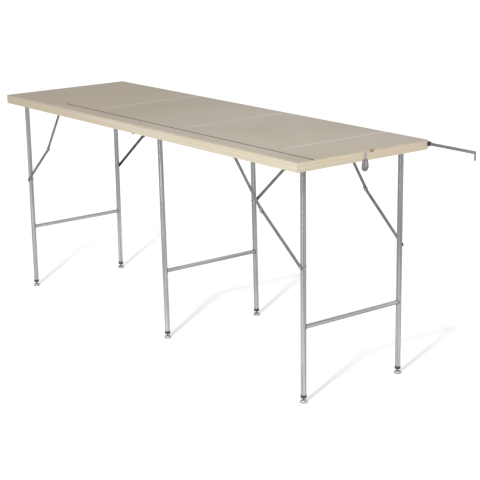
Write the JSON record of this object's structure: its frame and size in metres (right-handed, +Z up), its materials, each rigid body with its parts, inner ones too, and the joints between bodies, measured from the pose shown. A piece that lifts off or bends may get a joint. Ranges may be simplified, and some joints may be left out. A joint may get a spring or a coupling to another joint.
{
  "type": "wallpaper pasting table",
  "caption": "Long narrow folding work table: pale wood-edged board hinged at mid-length on bent-tube leg frames with two-link braces, screw feet, end hasp and pull-out arm.",
  "frame": {"origin": "on the floor under the middle of the whole object's box, pull-out arm and hasp stud included", "axes": "+X along the board towards the end with the hasp and the pull-out arm, +Y towards the side that carries the arm, +Z up"},
  "size_m": [2.006, 0.5624, 0.8],
  "materials": {
    "laminate": "thin hardboard with a matt grey-beige coated face",
    "rail_wood": "planed pale softwood, clear matt",
    "zinc_tube": "zinc-plated steel tube, satin",
    "brace_steel": "dull grey plated flat steel",
    "bright_steel": "bright zinc-plated steel",
    "dark_steel": "dark dull steel",
    "hasp_steel": "pressed steel with a cool satin plating",
    "arm_steel": "grey plated flat steel",
    "foot_zinc": "light zinc-plated turned steel",
    "black_plastic": "black moulded plastic"
  },
  "bodies": {
    "right_half": {"right_board": "laminate", "right_front_rail": "rail_wood", "right_back_rail": "rail_wood", "right_end_rail": "rail_wood", "right_centre_rail": "rail_wood", "brace_block": "rail_wood", "right_front_hinge_leaf": "bright_steel", "right_back_hinge_leaf": "bright_steel", "front_hinge_pin": "bright_steel", "back_hinge_pin": "bright_steel", "middle_front_saddle": "bright_steel", "middle_back_saddle": "bright_steel", "right_front_saddle": "bright_steel", "right_back_saddle": "bright_steel", "catch_plate": "dark_steel", "hasp_screw": "bright_steel", "outer_arm_guide": "black_plastic", "inner_arm_guide": "black_plastic"},
    "left_half": {"left_board": "laminate", "left_front_rail": "rail_wood", "left_back_rail": "rail_wood", "left_end_rail": "rail_wood", "left_centre_rail": "rail_wood", "left_front_hinge_leaf": "bright_steel", "left_back_hinge_leaf": "bright_steel", "left_front_saddle": "bright_steel", "left_back_saddle": "bright_steel", "hasp_stud": "bright_steel"},
    "left_leg": {"left_leg_frame": "zinc_tube", "left_front_collar": "black_plastic", "left_back_collar": "black_plastic", "left_front_leg_bolt": "bright_steel", "left_back_leg_bolt": "bright_steel"},
    "middle_leg": {"middle_leg_frame": "zinc_tube", "middle_front_collar": "black_plastic", "middle_back_collar": "black_plastic", "middle_back_leg_bolt": "bright_steel"},
    "right_leg": {"right_leg_frame": "zinc_tube", "right_front_collar": "black_plastic", "right_back_collar": "black_plastic", "right_front_leg_bolt": "bright_steel", "right_back_leg_bolt": "bright_steel"},
    "left_front_foot": {"left_front_foot": "foot_zinc"},
    "left_back_foot": {"left_back_foot": "foot_zinc"},
    "middle_front_foot": {"middle_front_foot": "foot_zinc"},
    "middle_back_foot": {"middle_back_foot": "foot_zinc"},
    "right_front_foot": {"right_front_foot": "foot_zinc"},
    "right_back_foot": {"right_back_foot": "foot_zinc"},
    "left_front_lower_link": {"left_front_lower_link": "brace_steel"},
    "left_front_upper_link": {"left_front_upper_link": "brace_steel"},
    "left_back_lower_link": {"left_back_lower_link": "brace_steel"},
    "left_back_upper_link": {"left_back_upper_link": "brace_steel"},
    "middle_back_lower_link": {"middle_back_lower_link": "brace_steel"},
    "middle_back_upper_link": {"middle_back_upper_link": "brace_steel"},
    "right_front_lower_link": {"right_front_lower_link": "brace_steel"},
    "right_front_upper_link": {"right_front_upper_link": "brace_steel"},
    "right_back_lower_link": {"right_back_lower_link": "brace_steel"},
    "right_back_upper_link": {"right_back_upper_link": "brace_steel"},
    "hasp": {"hasp": "hasp_steel"},
    "pull_out_arm": {"pull_out_arm": "arm_steel"}
  },
  "joints": [
    {"name": "centre_fold", "type": "hinge", "parent": "right_half", "child": "left_half", "pos_m": [-0.10095, -0.00615, 0.7642], "axis": [0, -1, 0], "range_deg": [0, 70]},
    {"name": "left_leg_fold", "type": "hinge", "parent": "left_half", "child": "left_leg", "pos_m": [-0.96345, -0.00615, 0.786], "axis": [0, -1, 0], "range_deg": [0, 89.5]},
    {"name": "middle_leg_fold", "type": "hinge", "parent": "right_half", "child": "middle_leg", "pos_m": [-0.07455, 0.02685, 0.7675], "axis": [0, -1, 0], "range_deg": [0, 85.5]},
    {"name": "right_leg_fold", "type": "hinge", "parent": "right_half", "child": "right_leg", "pos_m": [0.74605, -0.00615, 0.786], "axis": [0, 1, 0], "range_deg": [0, 89.5]},
    {"name": "left_front_foot_screw", "type": "slide", "parent": "left_leg", "child": "left_front_foot", "axis": [0, 0, -1], "range_m": [0, 0.01]},
    {"name": "left_back_foot_screw", "type": "slide", "parent": "left_leg", "child": "left_back_foot", "axis": [0, 0, -1], "range_m": [0, 0.01]},
    {"name": "middle_front_foot_screw", "type": "slide", "parent": "middle_leg", "child": "middle_front_foot", "axis": [0.0192, 0, -0.9998], "range_m": [0, 0.01]},
    {"name": "middle_back_foot_screw", "type": "slide", "parent": "middle_leg", "child": "middle_back_foot", "axis": [0.0192, 0, -0.9998], "range_m": [0, 0.01]},
    {"name": "right_front_foot_screw", "type": "slide", "parent": "right_leg", "child": "right_front_foot", "axis": [0, 0, -1], "range_m": [0, 0.01]},
    {"name": "right_back_foot_screw", "type": "slide", "parent": "right_leg", "child": "right_back_foot", "axis": [0, 0, -1], "range_m": [0, 0.01]},
    {"name": "left_front_lower_link_pivot", "type": "hinge", "parent": "left_leg", "child": "left_front_lower_link", "pos_m": [-0.96345, -0.2247, 0.45], "axis": [0, -1, 0], "range_deg": [0, 55]},
    {"name": "left_front_upper_link_pivot", "type": "hinge", "parent": "left_half", "child": "left_front_upper_link", "pos_m": [-0.64146, -0.2646, 0.783], "axis": [0, -1, 0], "range_deg": [-48.5, 0]},
    {"name": "left_back_lower_link_pivot", "type": "hinge", "parent": "left_leg", "child": "left_back_lower_link", "pos_m": [-0.96345, 0.2124, 0.45], "axis": [0, -1, 0], "range_deg": [0, 55]},
    {"name": "left_back_upper_link_pivot", "type": "hinge", "parent": "left_half", "child": "left_back_upper_link", "pos_m": [-0.64146, 0.2523, 0.783], "axis": [0, -1, 0], "range_deg": [-48.5, 0]},
    {"name": "middle_back_lower_link_pivot", "type": "hinge", "parent": "middle_leg", "child": "middle_back_lower_link", "pos_m": [-0.06845, 0.2454, 0.45], "axis": [0, -1, 0], "range_deg": [0, 50]},
    {"name": "middle_back_upper_link_pivot", "type": "hinge", "parent": "right_half", "child": "middle_back_upper_link", "pos_m": [0.22845, 0.2523, 0.775], "axis": [0, -1, 0], "range_deg": [-51, 0]},
    {"name": "right_front_lower_link_pivot", "type": "hinge", "parent": "right_leg", "child": "right_front_lower_link", "pos_m": [0.74605, -0.2247, 0.45], "axis": [0, 1, 0], "range_deg": [0, 55]},
    {"name": "right_front_upper_link_pivot", "type": "hinge", "parent": "right_half", "child": "right_front_upper_link", "pos_m": [0.42406, -0.2646, 0.783], "axis": [0, 1, 0], "range_deg": [-48.5, 0]},
    {"name": "right_back_lower_link_pivot", "type": "hinge", "parent": "right_leg", "child": "right_back_lower_link", "pos_m": [0.74605, 0.2124, 0.45], "axis": [0, 1, 0], "range_deg": [0, 55]},
    {"name": "right_back_upper_link_pivot", "type": "hinge", "parent": "right_half", "child": "right_back_upper_link", "pos_m": [0.42406, 0.2215, 0.783], "axis": [0, 1, 0], "range_deg": [-48.5, 0]},
    {"name": "hasp_swing", "type": "hinge", "parent": "right_half", "child": "hasp", "pos_m": [0.8011, -0.00615, 0.792], "axis": [1, 0, 0], "range_deg": [-100, 100]},
    {"name": "arm_slide", "type": "slide", "parent": "right_half", "child": "pull_out_arm", "axis": [1, 0, 0], "range_m": [-0.19, 0]}
  ],
  "couplings": [
    {"joint": "left_front_lower_link_pivot", "follows": "left_leg_fold", "ratio": 0.61268},
    {"joint": "left_front_upper_link_pivot", "follows": "left_leg_fold", "ratio": -0.53629},
    {"joint": "left_back_lower_link_pivot", "follows": "left_leg_fold", "ratio": 0.61268},
    {"joint": "left_back_upper_link_pivot", "follows": "left_leg_fold", "ratio": -0.53629},
    {"joint": "middle_back_lower_link_pivot", "follows": "middle_leg_fold", "ratio": 0.58247},
    {"joint": "middle_back_upper_link_pivot", "follows": "middle_leg_fold", "ratio": -0.59388},
    {"joint": "right_front_lower_link_pivot", "follows": "right_leg_fold", "ratio": 0.61268},
    {"joint": "right_front_upper_link_pivot", "follows": "right_leg_fold", "ratio": -0.53629},
    {"joint": "right_back_lower_link_pivot", "follows": "right_leg_fold", "ratio": 0.61268},
    {"joint": "right_back_upper_link_pivot", "follows": "right_leg_fold", "ratio": -0.53629}
  ]
}
